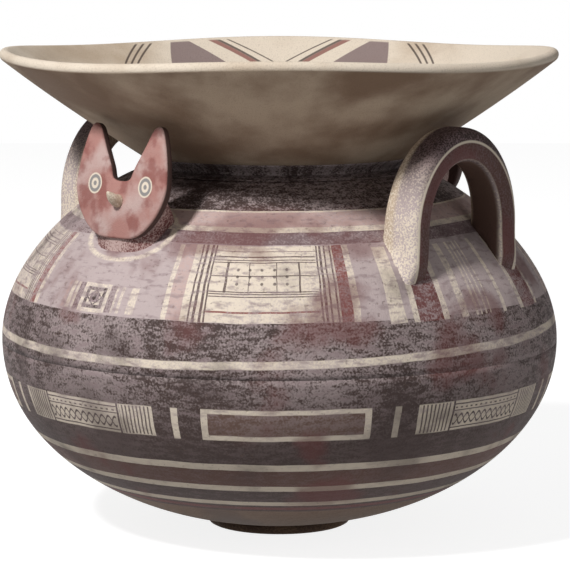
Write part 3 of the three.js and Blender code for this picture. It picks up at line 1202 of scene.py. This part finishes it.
@dataclass
class HornedFigure:
    """A horned face plate on its stem, with a pinched nose."""

    place: str
    azimuth: float
    seat: float = 199.0
    front: float = 146.5
    thickness: float = 6.0
    lean: float = 10.0
    half_width: float = 36.5
    horn_spread: float = 25.0
    horn_length: float = 62.5
    notch_half: float = 6.0
    notch_rise: float = 30.0
    chin: float = 5.0
    nose_rise: float = 17.0
    nose_length: float = 10.0
    nose_radius: float = 4.0
    stem_half: float = 25.0
    stem_depth: float = 32.0
    stem_height: float = 22.0

    def raised(self, across: float, up: float, out: float) -> Point3:
        """Place a point of the face's own plane in the frame.

        Args:
            across: Sideways from the middle.
            up: Along the face, from the seat.
            out: Away from the pot.

        Returns:
            The point in metres.
        """
        tilt = math.radians(self.lean)
        y = -self.front + up * math.sin(tilt) - out * math.cos(tilt)
        z = self.seat + up * math.cos(tilt) + out * math.sin(tilt)
        return turned_to((across, y, z), self.azimuth)

    def outline(self) -> list[Point2]:
        """The face's outline.

        Returns:
            Its points, anticlockwise from the chin.
        """
        w, h = self.half_width, self.horn_length
        half = [(0.0, -self.chin), (w * 0.45, -self.chin * 0.7), (w * 0.8, 7.0), (w, 22.0), (w * 0.99, 37.0),
                (w * 0.9, h - 11), (self.horn_spread + 3.4, h - 0.8), (self.horn_spread - 2.4, h - 1.6),
                (self.horn_spread * 0.66, h - 13),
                (self.notch_half * 1.7, self.notch_rise + 8), (self.notch_half, self.notch_rise)]
        knots = half + [(-x, y) for x, y in reversed(half[1:])]
        count = len(knots)
        points = []
        for i in range(count):
            a, b, c, d = (knots[(i + k - 1) % count] for k in range(4))
            for step in range(6):
                t = step / 6
                points.append(tuple(
                    0.5 * (2 * b[n] + (c[n] - a[n]) * t + (2 * a[n] - 5 * b[n] + 4 * c[n] - d[n]) * t * t
                           + (3 * b[n] - a[n] - 3 * c[n] + d[n]) * t ** 3) for n in (0, 1)))
        return points

    def build(self, face: bpy.types.Material, stem: bpy.types.Material, nose: bpy.types.Material) -> None:
        """Build plate, stem and nose and dress them.

        Args:
            face: Finish of the plate.
            stem: Finish of the stem.
            nose: Finish of the nose.
        """
        self.build_plate(face)
        self.build_stem(stem)
        self.build_nose(nose)

    def build_plate(self, finish: bpy.types.Material) -> None:
        """The plate, with rounded edges.

        Args:
            finish: Finish of the plate.
        """
        outline = self.outline()
        count = len(outline)
        layers = ((0.0, 1.3), (-0.4, 0.4), (-1.3, 0.0), (-self.thickness + 1.3, 0.0),
                  (-self.thickness + 0.4, 0.4), (-self.thickness, 1.3))
        vertices: list[Point3] = []
        spots: list[float] = []
        for out, inset in layers:
            for i, (x, y) in enumerate(outline):
                ax, ay = outline[i - 1]
                bx, by = outline[(i + 1) % count]
                length = math.hypot(bx - ax, by - ay) or 1.0
                px, py = x - (by - ay) / length * inset, y + (bx - ax) / length * inset
                vertices.append(self.raised(px, py, out))
                spots += [px, py, out]
        piece = lofted(f"face_plate_{self.place}", vertices, len(layers), count)
        keep_spots(piece, spots)
        dress(piece, f"protome_plate_{self.place}", finish)

    def build_stem(self, finish: bpy.types.Material) -> None:
        """The stem between plate and shoulder.

        Args:
            finish: Finish of the stem.
        """
        steps, sides = 26, 48
        tilt = math.tan(math.radians(self.lean))
        vertices: list[Point3] = []
        for i in range(steps + 1):
            height = self.seat - 22 + (22 + self.stem_height) * i / steps
            climb = max(0.0, (height - self.seat) / self.stem_height)
            front = self.front - 1.5 - climb * self.stem_height * tilt
            if climb > 0:
                front = min(front, self.front - self.thickness * 0.6 - climb * self.stem_height * tilt)
            back = front - self.stem_depth + (self.stem_depth - self.thickness) * climb
            half = self.stem_half + 5 * math.sin(math.pi * 0.8 * climb)
            for k in range(sides):
                u, v = squareness(2 * math.pi * k / sides, 2.6)
                point = (half * u, -(front + back) / 2 + (front - back) / 2 * v, height)
                vertices.append(turned_to(settled(point, 1.2), self.azimuth))
        piece = lofted(f"stem_{self.place}", vertices, steps + 1, sides)
        dress(piece, f"protome_stem_{self.place}", finish)

    def build_nose(self, finish: bpy.types.Material) -> None:
        """The pinched nose, bent up a little.

        Args:
            finish: Finish of the nose.
        """
        steps, sides = 12, 20
        vertices = []
        for i in range(steps + 1):
            reach = i / steps
            radius = self.nose_radius * (1 - 0.3 * reach - 0.5 * reach ** 4)
            for k in range(sides):
                angle = 2 * math.pi * k / sides
                up = self.nose_rise + radius * math.sin(angle) + 4 * reach ** 2
                vertices.append(self.raised(radius * math.cos(angle), up, self.nose_length * reach - 0.2))
        piece = lofted(f"nose_{self.place}", vertices, steps + 1, sides)
        dress(piece, f"protome_nose_{self.place}", finish)


@dataclass
class Studio:
    """Floor, lamps and camera."""

    floor_size: float = 6.0
    floor_glow: float = 0.85
    world_level: float = 0.18
    key_place: Point3 = (-1.2, -1.5, 2.1)
    key_power: float = 72.0
    key_size: float = 0.3
    fill_place: Point3 = (1.6, -1.6, 0.9)
    fill_power: float = 5.0
    fill_size: float = 1.6
    camera_place: Point3 = (0.0037, -1.748, 0.382)
    camera_pitch: float = 7.515
    lens: float = 175.85

    def build(self) -> None:
        """Build the floor, the lamps, the world and the camera."""
        self.floor()
        self.lamp("key_lamp", self.key_place, self.key_power, self.key_size)
        self.lamp("fill_lamp", self.fill_place, self.fill_power, self.fill_size)
        self.world()
        self.camera()
        bpy.context.scene.view_settings.view_transform = "Standard"

    def floor(self) -> None:
        """A pale floor that shows white to the camera."""
        half = self.floor_size / 2
        mesh = bpy.data.meshes.new("floor")
        mesh.from_pydata([(-half, -half, 0), (half, -half, 0), (half, half, 0), (-half, half, 0)], [],
                         [(0, 1, 2, 3)])
        piece = bpy.data.objects.new("floor", mesh)
        bpy.context.scene.collection.objects.link(piece)
        sheet = Sheet("pale_floor")
        sheet.shader.inputs["Base Color"].default_value = (0.4, 0.4, 0.4, 1.0)
        sheet.shader.inputs["Roughness"].default_value = 0.9
        sheet.shader.inputs["Emission Color"].default_value = (1.0, 1.0, 1.0, 1.0)
        path = sheet.node("ShaderNodeLightPath", {}, {})
        seen = Value(sheet, path.outputs["Is Camera Ray"])
        for ray in ("Is Glossy Ray", "Is Transmission Ray"):
            seen = seen.cover(Value(sheet, path.outputs[ray]))
        sheet.feed(sheet.shader.inputs["Emission Strength"], seen * self.floor_glow)
        piece.data.materials.append(sheet.material)

    def lamp(self, name: str, place: Point3, power: float, size: float) -> None:
        """An area lamp that points at the pot's middle.

        Args:
            name: Name of the lamp.
            place: Where it stands, in metres.
            power: Power in watts.
            size: Side of the lamp, in metres.
        """
        data = bpy.data.lights.new(name, "AREA")
        data.energy = power
        data.size = size
        lamp = bpy.data.objects.new(name, data)
        lamp.location = place
        aim = (-place[0], -place[1], 0.15 - place[2])
        yaw = math.atan2(aim[0], -aim[1])
        drop = math.atan2(math.hypot(aim[0], aim[1]), -aim[2])
        lamp.rotation_euler = (drop, 0.0, yaw + math.pi)
        bpy.context.scene.collection.objects.link(lamp)

    def world(self) -> None:
        """Soft light from all round, white behind the pot."""
        world = bpy.data.worlds.new("studio")
        world.use_nodes = True
        bpy.context.scene.world = world
        tree = world.node_tree
        path = tree.nodes.new("ShaderNodeLightPath")
        ray = tree.nodes.new("ShaderNodeMath")
        ray.operation = "MAXIMUM"
        tree.links.new(path.outputs["Is Camera Ray"], ray.inputs[0])
        ray.inputs[1].default_value = self.world_level
        background = tree.nodes["Background"]
        background.inputs["Color"].default_value = (1.0, 1.0, 1.0, 1.0)
        tree.links.new(ray.outputs[0], background.inputs["Strength"])

    def camera(self) -> None:
        """The photograph's view."""
        data = bpy.data.cameras.new("photo_camera")
        data.lens = self.lens
        data.sensor_width = 36.0
        camera = bpy.data.objects.new("photo_camera", data)
        camera.location = self.camera_place
        camera.rotation_euler = (math.radians(90 - self.camera_pitch), 0.0, 0.0)
        bpy.context.scene.collection.objects.link(camera)
        bpy.context.scene.camera = camera


def main() -> None:
    """Dress the whole pot."""
    logging.basicConfig(level=logging.INFO, format="%(name)s: %(message)s")
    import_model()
    Studio().build()
    bare = PlainClay("bare_clay", Paint.BARE_DARK, Paint.BARE).material()
    TurnedWalls().build(PotPaint().material(), FunnelPaint().material(), bare)
    strap = StrapPaint().material()
    StrapHandle("handle_front_right", 47.0).build(strap)
    StrapHandle("handle_rear_left", -133.0).build(strap)
    face = PlatePaint().material()
    stem = PlainClay("speckled_stem", Paint.RED_DEEP, Paint.PINK).material()
    nose = PlainClay("pale_nose", Paint.CREAM_STAIN, Paint.CREAM).material()
    HornedFigure("front_left", -41.5).build(face, stem, nose)
    HornedFigure("rear_right", 138.5).build(face, stem, nose)


if __name__ == "__main__":
    main()
